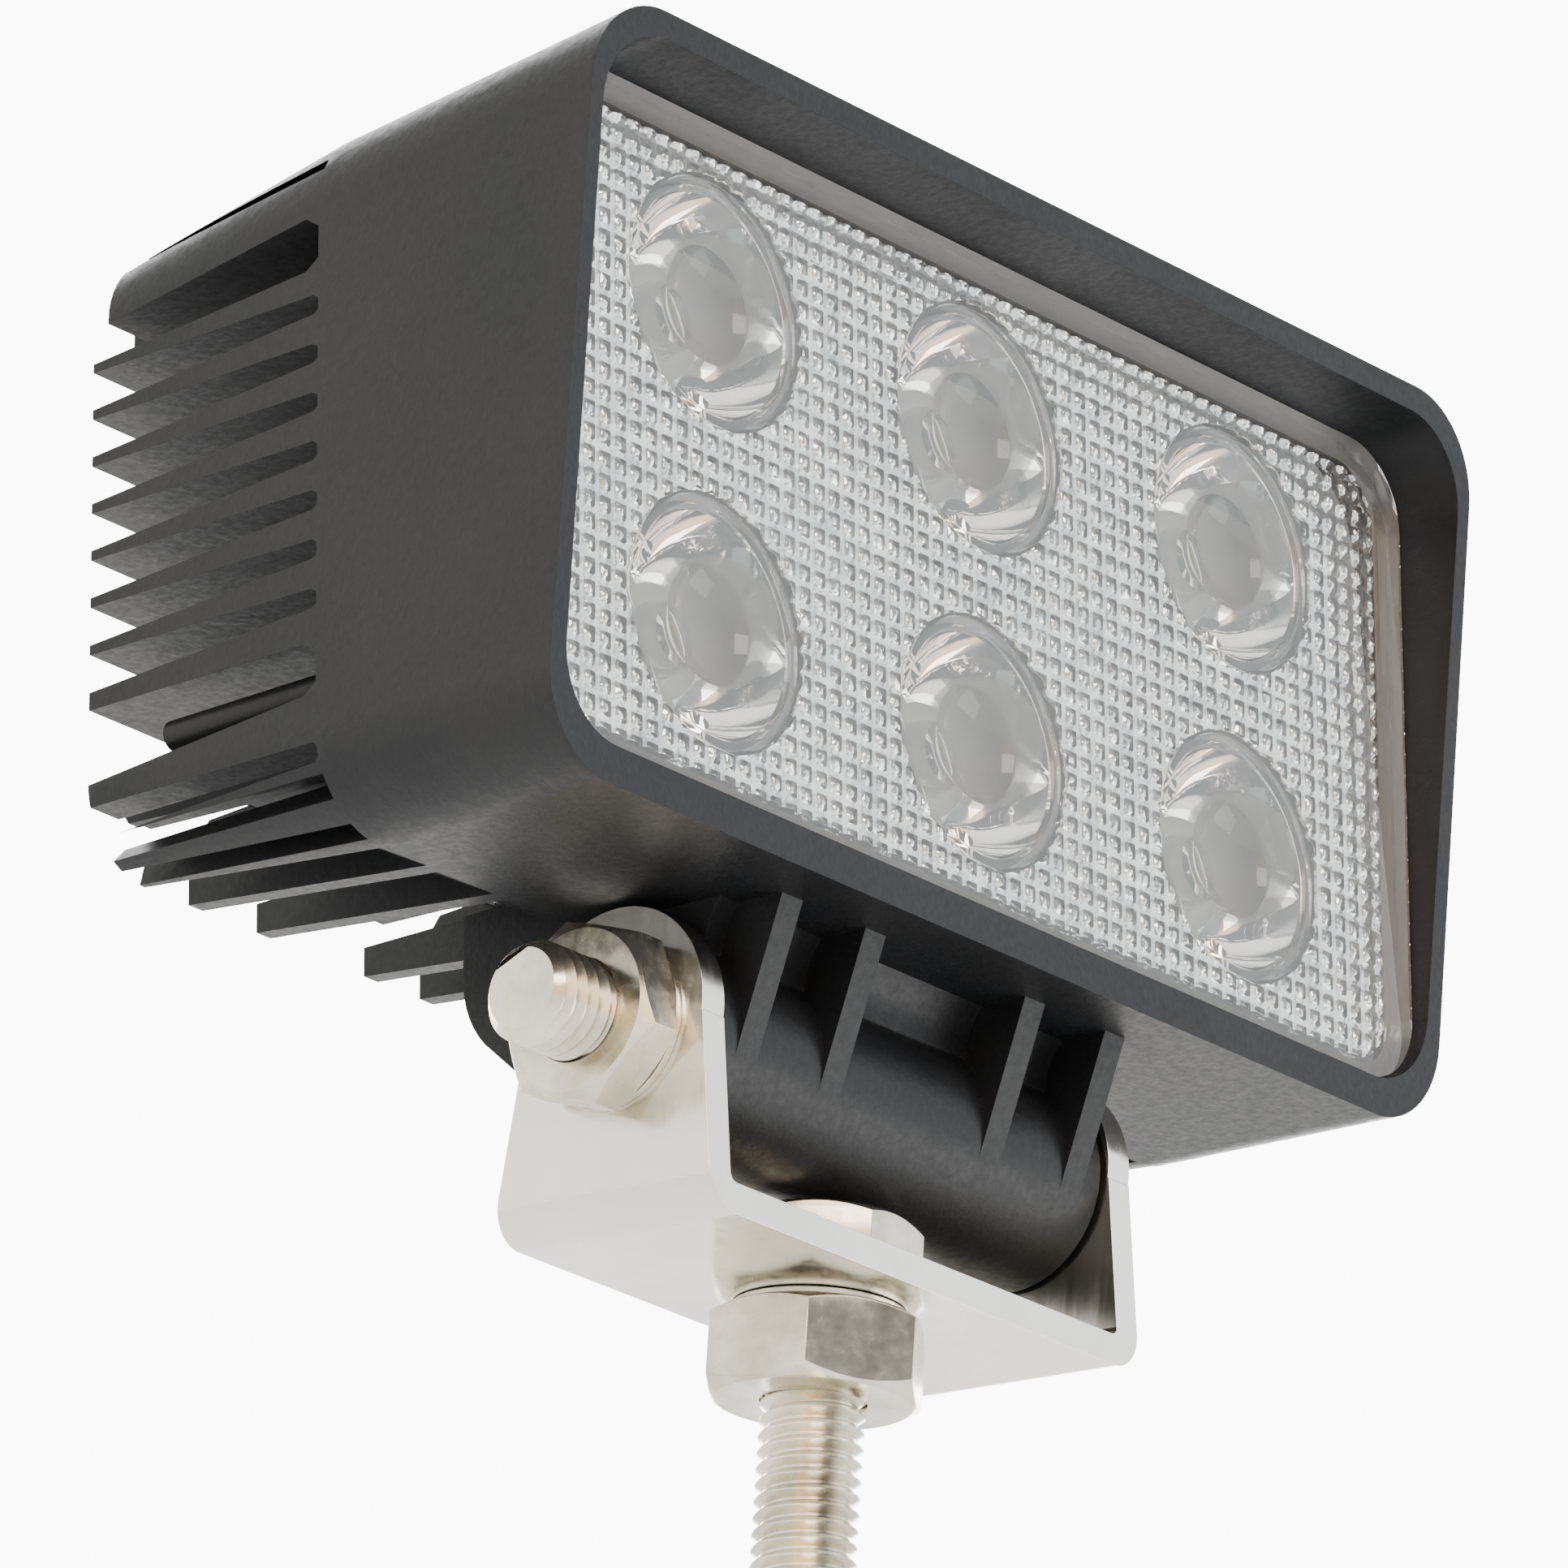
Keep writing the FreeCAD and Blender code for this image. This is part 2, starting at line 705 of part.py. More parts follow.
# Domed clamping nut with flats for a spanner
def gland_nut():
    start = core_back_y + gland_nut_start
    inner, outer, mouth = gland_nut_inner, gland_nut_outer, gland_nut_mouth
    profile = [(inner, 0), (outer, 0), (outer, 4.4), (7.1, 6.2), (5.4, 7.2),
               (mouth, 7.3), (mouth, 5.2), (inner, 4.0)]
    dome = turned(profile, (0, start, gland_z), along_y)
    grip = hexagon(gland_nut_flats, core_back_y, gland_turn)
    grip.rotate(V(0, 0, 0), V(*along_y[0]), along_y[1])
    grip.translate(V(0, start - cut_slack, gland_z))
    return dome.common(grip)


# ---- bracket and fasteners ----------------------------------------------------------


# The edges of a block that run front to back at height z
def long_edges(block, z):
    found = []
    for edge in block.Edges:
        a, b = edge.Vertexes[0].Point, edge.Vertexes[1].Point
        if max(abs(a.z - z), abs(b.z - z), abs(a.x - b.x)) < running_gap:
            found.append(edge)
    return found


# U of bent sheet: the base with its stud hole and two round-topped ears
def bracket():
    half = bracket_width / 2
    crown_z = pivot_height + crown_rise
    top = crown_z + crown_radius + cut_slack
    reach = ear_foot_half + hood_slack
    outer = box(-half, half, -reach, reach, 0, top)
    inner = box(-half + sheet, half - sheet, -reach - 1, reach + 1, sheet, top + 1)
    outer = outer.makeFillet(bend_radius, long_edges(outer, 0))
    inner = inner.makeFillet(bend_radius - sheet, long_edges(inner, sheet))
    channel = outer.cut(inner)
    out = half + cut_slack
    side = prism([(-out, -ear_foot_half, -1), (-out, -ear_foot_half, 0), (-out, -ear_half, pivot_height),
                  (-out, 0, crown_z), (-out, ear_half, pivot_height), (-out, ear_foot_half, 0),
                  (-out, ear_foot_half, -1)], (2 * out, 0, 0))
    crown = rod(crown_radius, (-out, 0, crown_z), (1, 0, 0), 2 * out)
    plate = channel.common(side.fuse(crown))
    hole_radius = thread_radius + running_gap
    pivot_hole = rod(hole_radius, (-out, 0, pivot_height), (1, 0, 0), 2 * out)
    stud_hole = rod(hole_radius, (0, 0, -sheet), (0, 0, 1), 3 * sheet)
    return plate.cut([pivot_hole, stud_hole])


def washer():
    ring = rod(washer_radius, (0, 0, 0), (0, 0, 1), washer_thickness)
    return ring.cut(rod(thread_radius + running_gap, (0, 0, -1), (0, 0, 1), 2 + washer_thickness))


# Low hexagon head inside the U and the stud that points down through the base
def mounting_bolt():
    head = chamfered_hexagon(head_flats, low_head_height, head_turn, both_ends=False)
    head.translate(V(0, 0, sheet + face_gap))
    upper = rod(thread_radius, (0, 0, neck_top), (0, 0, 1), sheet + 2 * face_gap - neck_top)
    neck = rod(neck_radius, (0, 0, neck_top - neck_height), (0, 0, 1), neck_height)
    thread = rod(thread_radius, (0, 0, -stud_length + end_chamfer), (0, 0, 1),
                 stud_length - end_chamfer + neck_top - neck_height)
    end = Part.makeCone(thread_radius - end_chamfer, thread_radius, end_chamfer, V(0, 0, -stud_length))
    return head.fuse([upper, neck, thread, end])


def mounting_washer():
    ring = washer()
    ring.translate(V(0, 0, -washer_thickness - face_gap))
    return ring


def mounting_nut():
    nut = chamfered_hexagon(mounting_nut_flats, mounting_nut_height, mounting_nut_turn)
    nut = nut.cut(rod(thread_radius + running_gap, (0, 0, -1), (0, 0, 1), mounting_nut_height + 2))
    nut.translate(V(0, 0, -washer_thickness - mounting_nut_height - 2 * face_gap))
    return nut


# Turn a +Z fastener to point along -X and put its foot at x on the pivot axis
def lay_along_x(shape, x):
    laid = shape.copy()
    laid.rotate(V(0, 0, 0), V(0, 1, 0), -90)
    laid.translate(V(x, 0, pivot_height))
    return laid


# Low domed head with a hexagon socket on one ear, the end through the nut on the other
def pivot_bolt():
    profile = [(0, 0), (button_radius, 0), (button_radius, -button_rim), (5.9, -2.2), (4.3, -3.3),
               (3.4, -button_height), (0, -button_height)]
    dome = turned(profile, (0, 0, 0), None)
    socket = hexagon(button_socket_flats, button_socket_depth)
    socket.translate(V(0, 0, -button_height))
    shank = rod(thread_radius, (0, 0, -cut_slack), (0, 0, 1), pivot_bolt_length - end_chamfer + cut_slack)
    end = Part.makeCone(thread_radius, thread_radius - end_chamfer, end_chamfer,
                        V(0, 0, pivot_bolt_length - end_chamfer))
    return lay_along_x(dome.cut(socket).fuse([shank, end]), bracket_width / 2)


def pivot_washer():
    return lay_along_x(washer(), -bracket_width / 2)


def pivot_nut():
    nut = chamfered_hexagon(pivot_nut_flats, pivot_nut_height, pivot_nut_turn)
    nut = nut.cut(rod(thread_radius + running_gap / 2, (0, 0, -1), (0, 0, 1), pivot_nut_height + 2))
    return lay_along_x(nut, -bracket_width / 2 - washer_thickness)


# ---- assembly -----------------------------------------------------------------------


def lamp_parts():
    parts = {
        "housing": housing(),
        "lens": lens(),
        "lens_gasket": lens_gasket(),
        "reflector_tray": reflector_tray(),
        "led_board": led_board(),
        "thermal_pad": thermal_pad(),
        "board_screws": board_screws(),
        "driver_board": driver_board(),
        "driver_inductor": driver_inductor(),
        "driver_capacitor_input": driver_capacitor(input_capacitor_x),
        "driver_capacitor_output": driver_capacitor(output_capacitor_x),
        "driver_chip": driver_chip(),
        "led_lead_red": board_lead(lead_offset),
        "led_lead_black": board_lead(-lead_offset),
        "cable_gland": cable_gland(),
        "gland_seal": gland_seal(),
        "gland_nut": gland_nut(),
    }
    for number, (x, z) in enumerate(optic_places(), start=1):
        parts["optic_%d" % number] = place_optic_shape(optic(), x, z)
        parts["led_%d" % number] = place_optic_shape(led(), x, z, board_front_y)
    return {name: seat_lamp(shape) for name, shape in parts.items()}


def stand_parts():
    return {
        "bracket": bracket(),
        "pivot_bolt": pivot_bolt(),
        "pivot_washer": pivot_washer(),
        "pivot_nut": pivot_nut(),
        "mounting_bolt": mounting_bolt(),
        "mounting_washer": mounting_washer(),
        "mounting_nut": mounting_nut(),
    }


os.makedirs("parts", exist_ok=True)
for node, shape in {**lamp_parts(), **stand_parts()}.items():
    shape.exportStep("parts/%s.step" % node)
    print("%-24s solids %d  valid %s  %.0f mm3" % (node, len(shape.Solids), shape.isValid(), shape.Volume))
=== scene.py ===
import json
import math

import bpy
from mathutils import Matrix, Vector


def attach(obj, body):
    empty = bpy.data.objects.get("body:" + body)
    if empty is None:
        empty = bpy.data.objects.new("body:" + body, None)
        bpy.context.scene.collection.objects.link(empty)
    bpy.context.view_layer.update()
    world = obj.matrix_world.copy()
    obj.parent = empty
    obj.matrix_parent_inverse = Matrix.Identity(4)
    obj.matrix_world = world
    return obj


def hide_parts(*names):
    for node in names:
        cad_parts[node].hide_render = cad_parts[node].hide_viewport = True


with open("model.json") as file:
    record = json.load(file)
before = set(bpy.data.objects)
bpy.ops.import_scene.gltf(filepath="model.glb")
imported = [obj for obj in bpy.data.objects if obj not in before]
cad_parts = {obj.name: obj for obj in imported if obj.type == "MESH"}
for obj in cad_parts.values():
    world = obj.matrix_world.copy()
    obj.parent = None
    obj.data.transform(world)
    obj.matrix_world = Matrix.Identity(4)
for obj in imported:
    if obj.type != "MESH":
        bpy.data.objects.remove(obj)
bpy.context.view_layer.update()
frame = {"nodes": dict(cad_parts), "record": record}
nodes = frame["nodes"]
mm = 0.001

# helpers for modelling


def deselectAll():
    if bpy.context.object and bpy.context.object.mode != "OBJECT":
        bpy.ops.object.mode_set(mode="OBJECT")
    bpy.ops.object.select_all(action="DESELECT")


def activate(obj):
    deselectAll()
    obj.select_set(True)
    bpy.context.view_layer.objects.active = obj


def finishPlace(obj):
    activate(obj)
    bpy.ops.object.transform_apply(location=True, rotation=True, scale=True)


def editAll(obj):
    activate(obj)
    bpy.ops.object.mode_set(mode="EDIT")
    bpy.ops.mesh.select_all(action="SELECT")


def leaveEdit():
    bpy.ops.object.mode_set(mode="OBJECT")


def applyModifier(obj, kind, name="step", **settings):
    activate(obj)
    modifier = obj.modifiers.new(name, kind)
    for key, value in settings.items():
        setattr(modifier, key, value)
    bpy.ops.object.modifier_apply(modifier=modifier.name)


def copyOf(obj, name):
    twin = obj.copy()
    twin.data = obj.data.copy()
    twin.name = name
    twin.data.name = name
    bpy.context.scene.collection.objects.link(twin)
    return twin


def copyOfNode(node, name):
    twin = bpy.data.objects.new(name, nodes[node].data.copy())
    twin.data.name = name
    bpy.context.scene.collection.objects.link(twin)
    return twin


def remove(obj):
    bpy.data.objects.remove(obj, do_unlink=True)


def tidyFaces(obj, angle=1.0):
    editAll(obj)
    bpy.ops.mesh.remove_doubles(threshold=0.002 * mm)
    bpy.ops.mesh.dissolve_limited(angle_limit=math.radians(angle))
    leaveEdit()


def smooth(obj, angle=35):
    activate(obj)
    bpy.ops.object.shade_smooth_by_angle(angle=math.radians(angle))


def outward(obj):
    editAll(obj)
    bpy.ops.mesh.normals_make_consistent(inside=False)
    leaveEdit()


def settle(obj, body, material, slotName, *stoodFor):
    obj.data.materials.clear()
    obj.data.materials.append(material)
    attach(obj, body)
    if stoodFor:
        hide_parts(*stoodFor)


# the lamp is drawn square to its pivot and then leaned back onto the bracket
restTilt = math.radians(-5.0)
pivotHeight = 15.1 * mm
lampSeat = Matrix.Translation((0, 0, pivotHeight)) @ Matrix.Rotation(restTilt, 4, "X")


def seatLamp(obj):
    obj.matrix_world = lampSeat @ obj.matrix_world
    finishPlace(obj)


# materials


def newMaterial(name):
    material = bpy.data.materials.new(name)
    material.use_nodes = True
    return material, material.node_tree.nodes, material.node_tree.links, \
        material.node_tree.nodes["Principled BSDF"]


def objectPoint(tree, links, scale):
    place = tree.new("ShaderNodeTexCoord")
    mapping = tree.new("ShaderNodeMapping")
    mapping.inputs["Scale"].default_value = scale if hasattr(scale, "__len__") else (scale,) * 3
    links.new(place.outputs["Object"], mapping.inputs["Vector"])
    return mapping.outputs["Vector"]


def noise(tree, links, scale, detail=3.0, rough=0.5, stretch=(1, 1, 1)):
    node = tree.new("ShaderNodeTexNoise")
    node.inputs["Scale"].default_value = 1.0
    node.inputs["Detail"].default_value = detail
    node.inputs["Roughness"].default_value = rough
    links.new(objectPoint(tree, links, tuple(scale * s for s in stretch)), node.inputs["Vector"])
    return node.outputs["Fac"]


def remap(tree, links, value, low, high, start=0.3, end=0.7):
    node = tree.new("ShaderNodeMapRange")
    node.inputs["From Min"].default_value = start
    node.inputs["From Max"].default_value = end
    node.inputs["To Min"].default_value = low
    node.inputs["To Max"].default_value = high
    links.new(value, node.inputs["Value"])
    return node.outputs["Result"]


def blendColours(tree, links, value, first, second, start=0.35, end=0.65):
    ramp = tree.new("ShaderNodeValToRGB")
    ramp.color_ramp.elements[0].position = start
    ramp.color_ramp.elements[1].position = end
    ramp.color_ramp.elements[0].color = (*first, 1)
    ramp.color_ramp.elements[1].color = (*second, 1)
    links.new(value, ramp.inputs["Fac"])
    return ramp.outputs["Color"]


def addBump(tree, links, shader, value, depth, strength=1.0, under=None):
    bump = tree.new("ShaderNodeBump")
    bump.inputs["Strength"].default_value = strength
    bump.inputs["Distance"].default_value = depth * mm
    links.new(value, bump.inputs["Height"])
    if under:
        links.new(under, bump.inputs["Normal"])
    links.new(bump.outputs["Normal"], shader.inputs["Normal"])
    return bump.outputs["Normal"]


def surface(name, first, second, metallic, roughLow, roughHigh, grain, grainDepth,
            patch=60, stretch=(1, 1, 1), coat=0.0, coatRough=0.1, specular=0.5, wave=0.0, waveScale=120):
    material, tree, links, shader = newMaterial(name)
    cloud = noise(tree, links, patch, 4.0)
    links.new(blendColours(tree, links, cloud, first, second), shader.inputs["Base Color"])
    fine = noise(tree, links, grain, 3.0, 0.6, stretch)
    links.new(remap(tree, links, fine, roughLow, roughHigh), shader.inputs["Roughness"])
    shader.inputs["Metallic"].default_value = metallic
    shader.inputs["Specular IOR Level"].default_value = specular
    shader.inputs["Coat Weight"].default_value = coat
    shader.inputs["Coat Roughness"].default_value = coatRough
    under = None
    if wave:
        under = addBump(tree, links, shader, noise(tree, links, waveScale, 2.0), wave)
    addBump(tree, links, shader, fine, grainDepth, under=under)
    return material


def clearPlastic(name, tint, ior, rough, wave, clear=1.0):
    material, tree, links, shader = newMaterial(name)
    shader.inputs["Transmission Weight"].default_value = clear
    shader.inputs["IOR"].default_value = ior
    cloud = noise(tree, links, 90, 2.0)
    faint = tuple(0.985 * c for c in tint)
    links.new(blendColours(tree, links, cloud, tint, faint), shader.inputs["Base Color"])
    links.new(remap(tree, links, noise(tree, links, 900, 2.0), rough, rough + 0.015), shader.inputs["Roughness"])
    addBump(tree, links, shader, cloud, wave)
    return material


coatLook = {"dark": (0.0065, 0.0070, 0.0085), "light": (0.010, 0.0104, 0.0115), "grain": 1500}
nickelLook = {"dark": (0.80, 0.775, 0.70), "light": (0.93, 0.91, 0.85)}
zincLook = {"dark": (0.52, 0.48, 0.38), "light": (0.82, 0.78, 0.66)}

finish = {
    "housing_coat": surface("housingCoat", coatLook["dark"], coatLook["light"], 0.0, 0.36, 0.50,
                            coatLook["grain"], 0.03, wave=0.03, waveScale=320, specular=0.28),
    "lens_clear": clearPlastic("lensClear", (1.0, 1.0, 1.0), 1.5, 0.0, 0.004),
    "optic_clear": clearPlastic("opticClear", (1.0, 0.995, 0.95), 1.49, 0.0, 0.02, clear=0.985),
    "gasket_clear": clearPlastic("gasketClear", (0.40, 0.40, 0.39), 1.42, 0.25, 0.03, clear=0.35),
    "bright_tray": surface("brightTray", (0.66, 0.67, 0.68), (0.98, 0.98, 0.97), 0.85, 0.07, 0.2,
                           500, 0.02, patch=380, wave=0.42, waveScale=560),
    "gasket_rubber": surface("gasketRubber", (0.02, 0.02, 0.02), (0.03, 0.03, 0.03), 0.0, 0.6, 0.8,
                             1500, 0.02),
    "white_board": surface("whiteBoard", (0.74, 0.74, 0.71), (0.80, 0.80, 0.78), 0.0, 0.35, 0.5,
                           900, 0.008),
    "thermal_pad": surface("thermalPad", (0.42, 0.44, 0.47), (0.48, 0.5, 0.53), 0.0, 0.7, 0.9,
                           800, 0.03),
    "emitter_yellow": surface("emitterYellow", (0.90, 0.72, 0.16), (0.95, 0.82, 0.30), 0.0, 0.25, 0.4,
                              1500, 0.005, coat=0.8),
    "green_board": surface("greenBoard", (0.02, 0.16, 0.07), (0.03, 0.22, 0.10), 0.0, 0.3, 0.45,
                           700, 0.01, coat=0.4),
    "black_plastic": surface("blackPlastic", (0.02, 0.02, 0.022), (0.03, 0.03, 0.032), 0.0, 0.5, 0.65,
                             1800, 0.01),
    "can_aluminium": surface("canAluminium", (0.70, 0.71, 0.73), (0.80, 0.81, 0.82), 1.0, 0.25, 0.4,
                             600, 0.006, stretch=(1, 0.05, 1)),
    "red_insulation": surface("redInsulation", (0.42, 0.015, 0.015), (0.55, 0.03, 0.03), 0.0, 0.45, 0.6,
                              900, 0.01),
    "black_insulation": surface("blackInsulation", (0.015, 0.015, 0.015), (0.03, 0.03, 0.03), 0.0, 0.45, 0.6,
                                900, 0.01),
    "gland_nylon": surface("glandNylon", (0.018, 0.018, 0.019), (0.028, 0.028, 0.03), 0.0, 0.42, 0.6,
                           900, 0.02),
    "bright_sheet": surface("brightSheet", nickelLook["dark"], nickelLook["light"], 1.0, 0.13, 0.26,
                            700, 0.012, patch=45, stretch=(1, 1, 0.12), wave=0.10, waveScale=80),
    "zinc_steel": surface("zincSteel", zincLook["dark"], zincLook["light"], 1.0, 0.16, 0.30,
                          900, 0.008, patch=160, wave=0.03, waveScale=200),
}
slotOf = {row["node"]: row["material_slot"] for row in frame["record"]["subparts"]}
for node, obj in nodes.items():
    obj.data.materials.clear()
    obj.data.materials.append(finish[slotOf[node]])
print("stage: materials", len(finish))

# cast housing: every edge of the casting gets a small round

housingLook = {"edgeRound": 0.32, "segments": 2}
housing = copyOfNode("housing", "housingBody")
tidyFaces(housing, 0.6)
applyModifier(housing, "BEVEL", width=housingLook["edgeRound"] * mm, segments=housingLook["segments"],
              limit_method="ANGLE", angle_limit=math.radians(32), use_clamp_overlap=True, harden_normals=False)
smooth(housing, 32)
applyModifier(housing, "WEIGHTED_NORMAL", mode="FACE_AREA", weight=100, keep_sharp=True)
settle(housing, "lamp", finish["housing_coat"], "housing_coat", "housing")
print("stage: housing", len(housing.data.polygons))

# bracket and nuts: the CAD forms with broken edges

edgeLook = {"bracket": 0.30, "mounting_nut": 0.22, "pivot_nut": 0.22, "mounting_washer": 0.10,
            "pivot_washer": 0.10}
for node, width in edgeLook.items():
    body = {"mounting_nut": "nut", "mounting_washer": "washer"}.get(node, "bracket")
    piece = copyOfNode(node, node + "Finished")
    tidyFaces(piece, 0.6)
    applyModifier(piece, "BEVEL", width=width * mm, segments=3, limit_method="ANGLE",
                  angle_limit=math.radians(25), use_clamp_overlap=True)
    smooth(piece, 40)
    applyModifier(piece, "WEIGHTED_NORMAL", mode="FACE_AREA", weight=100, keep_sharp=True)
    settle(piece, body, finish[slotOf[node]], slotOf[node], node)
print("stage: bracket and nuts")

# threaded rods

# the tooth's points go on by (share of the depth, share of the pitch)
threadLook = {"pitch": 1.25, "crest": 3.96, "root": 3.38, "steps": 36,
              "tooth": ((0, 0.16), (0.8, 0.30), (0.2, 0.06), (0, 0.10), (-0.2, 0.06), (-0.8, 0.32))}


def threadedRod(name, length, look):
    # one tooth of the profile as a chain of edges, swept up the helix a little past the length, then capped; the
    # caller cuts it to length
    bpy.ops.mesh.primitive_plane_add(size=0.001 * mm, location=(look["root"] * mm, 0, -look["pitch"] * mm))
    rod = bpy.context.object
    rod.name = name
    bpy.ops.object.mode_set(mode="EDIT")
    bpy.ops.mesh.select_mode(type="VERT")
    bpy.ops.mesh.select_all(action="SELECT")
    bpy.ops.mesh.merge(type="CENTER")
    depth, pitch = look["crest"] - look["root"], look["pitch"]
    for across, along in look["tooth"]:
        step = (across * depth * mm, 0, along * pitch * mm)
        bpy.ops.mesh.extrude_region_move(TRANSFORM_OT_translate={"value": step})
    leaveEdit()
    finishPlace(rod)
    turns = math.ceil(length / pitch) + 2
    applyModifier(rod, "SCREW", axis="Z", angle=math.radians(360), screw_offset=pitch * mm, iterations=turns,
                  steps=look["steps"], render_steps=look["steps"], use_merge_vertices=True,
                  merge_threshold=0.001 * mm)
    editAll(rod)
    bpy.ops.mesh.remove_doubles(threshold=0.002 * mm)
    bpy.ops.mesh.select_all(action="DESELECT")
    bpy.ops.mesh.select_non_manifold(extend=False)
    bpy.ops.mesh.fill(use_beauty=False)
    bpy.ops.mesh.select_all(action="SELECT")
    bpy.ops.mesh.normals_make_consistent(inside=False)
    leaveEdit()
    return rod


def cutBy(obj, cutter, operation):
    applyModifier(obj, "BOOLEAN", operation=operation, object=cutter, solver="EXACT")
    remove(cutter)


def turnedBlank(name, profile, steps=48):
    # a solid of revolution about Z from (radius, height) points, starting and ending on the axis
    first = profile[0]
    bpy.ops.mesh.primitive_plane_add(size=0.001 * mm, location=(first[0] * mm, 0, first[1] * mm))
    blank = bpy.context.object
    blank.name = name
    bpy.ops.object.mode_set(mode="EDIT")
    bpy.ops.mesh.select_mode(type="VERT")
    bpy.ops.mesh.select_all(action="SELECT")
    bpy.ops.mesh.merge(type="CENTER")
    for (r0, z0), (r1, z1) in zip(profile, profile[1:]):
        bpy.ops.mesh.extrude_region_move(TRANSFORM_OT_translate={"value": ((r1 - r0) * mm, 0, (z1 - z0) * mm)})
    leaveEdit()
    finishPlace(blank)
    applyModifier(blank, "SCREW", axis="Z", angle=math.radians(360), screw_offset=0, iterations=1,
                  steps=steps, render_steps=steps, use_merge_vertices=True, merge_threshold=0.001 * mm)
    editAll(blank)
    bpy.ops.mesh.remove_doubles(threshold=0.001 * mm)
    bpy.ops.mesh.normals_make_consistent(inside=False)
    leaveEdit()
    return blank


def join(name, *objects):
    deselectAll()
    for obj in objects:
        obj.select_set(True)
    bpy.context.view_layer.objects.active = objects[0]
    bpy.ops.object.join()
    objects[0].name = name
    return objects[0]


studLook = {"low": -32.5, "threadTop": 2.6, "chamfer": 0.9, "tipRadius": 3.1, "radius": 4.0, "headFrom": 2.56,
            "headRound": 0.2}
stud = threadedRod("studThread", studLook["threadTop"] - studLook["low"], threadLook)
stud.location.z = studLook["low"] * mm
finishPlace(stud)
blank = turnedBlank("studBlank", ((0, studLook["low"]), (studLook["tipRadius"], studLook["low"]),
                                  (studLook["radius"], studLook["low"] + studLook["chamfer"]),
                                  (studLook["radius"], studLook["threadTop"]), (0, studLook["threadTop"])))
cutBy(stud, blank, "INTERSECT")
head = copyOfNode("mounting_bolt", "studHead")
tidyFaces(head, 0.6)
bpy.ops.object.select_all(action="DESELECT")
bpy.ops.mesh.primitive_cube_add(size=0.03, location=(0, 0, studLook["headFrom"] * mm + 0.015))
cutBy(head, bpy.context.object, "INTERSECT")
applyModifier(head, "BEVEL", width=studLook["headRound"] * mm, segments=3, limit_method="ANGLE",
              angle_limit=math.radians(25), use_clamp_overlap=True)
mountingBolt = join("mountingBoltFinished", stud, head)
smooth(mountingBolt, 32)
settle(mountingBolt, "stud", finish["zinc_steel"], "zinc_steel", "mounting_bolt")

# the dome's points are (radius, height over the bearing face)
pivotLook = {"start": 25.3, "length": 61.0, "thread": 30.0, "chamfer": 0.9, "tipRadius": 3.1, "radius": 4.0,
             "shank": 3.9, "socketRadius": 2.9, "socketDepth": 2.6,
             "dome": ((6.9, 0.1), (6.9, 0.5), (6.6, 1.3), (5.8, 2.3), (4.6, 3.1), (3.6, 3.7), (3.3, 3.78),
                      (0, 3.78))}
pivotThread = threadedRod("pivotThread", pivotLook["thread"], threadLook)
blank = turnedBlank("pivotBlank", ((0, 0), (pivotLook["tipRadius"], 0),
                                   (pivotLook["radius"], pivotLook["chamfer"]),
                                   (pivotLook["radius"], pivotLook["thread"]), (0, pivotLook["thread"])))
cutBy(pivotThread, blank, "INTERSECT")
shankFoot = pivotLook["thread"] + 0.01
shank = turnedBlank("pivotShank", [(0, shankFoot), (pivotLook["shank"], shankFoot),
                                   (pivotLook["shank"], pivotLook["length"] + 0.1)]
                    + [(radius, pivotLook["length"] + height) for radius, height in pivotLook["dome"]])
deselectAll()
bpy.ops.mesh.primitive_cylinder_add(vertices=6, radius=pivotLook["socketRadius"] * mm,
                                    depth=pivotLook["socketDepth"] * mm,
                                    location=(0, 0, (pivotLook["length"] + 3.0) * mm))
cutBy(shank, bpy.context.object, "DIFFERENCE")
pivotBolt = join("pivotBoltFinished", pivotThread, shank)
pivotBolt.matrix_world = Matrix.Translation(((pivotLook["start"] - pivotLook["length"]) * mm, 0, pivotHeight)) \
    @ Matrix.Rotation(math.radians(90), 4, "Y")
finishPlace(pivotBolt)
smooth(pivotBolt, 32)
settle(pivotBolt, "bracket", finish["zinc_steel"], "zinc_steel", "pivot_bolt")
print("stage: threaded bolts", len(mountingBolt.data.polygons), len(pivotBolt.data.polygons))

# pillow-patterned plate behind the lens, with the tray's skirt

plateLook = {"pitch": 1.76, "columns": 57, "rows": 29, "rise": 0.5, "domeReach": 0.40,
             "domeShare": 0.75, "topReach": 0.10, "topShare": 0.25, "base": -13.2, "thickness": 0.25,
             "midZ": 38.4, "halfWidth": 49.2, "halfHeight": 24.5, "corner": 3.6, "holeRadius": 10.02}
opticPlace = {"pitchX": 31.28, "pitchZ": 25.4, "rise": 0.4, "front": -13.1}


def opticCentres():
    for row in (1, -1):
        for column in (-1, 0, 1):
            height = plateLook["midZ"] + opticPlace["rise"] + row * opticPlace["pitchZ"] / 2
            yield column * opticPlace["pitchX"], height


def raiseInside(obj, reach, lift):
    for vertex in obj.data.vertices:
        vertex.select = max(abs(vertex.co.x), abs(vertex.co.y)) < reach
    bpy.ops.object.mode_set(mode="EDIT")
    bpy.ops.transform.translate(value=(0, 0, lift))
    bpy.ops.mesh.select_all(action="DESELECT")
    leaveEdit()


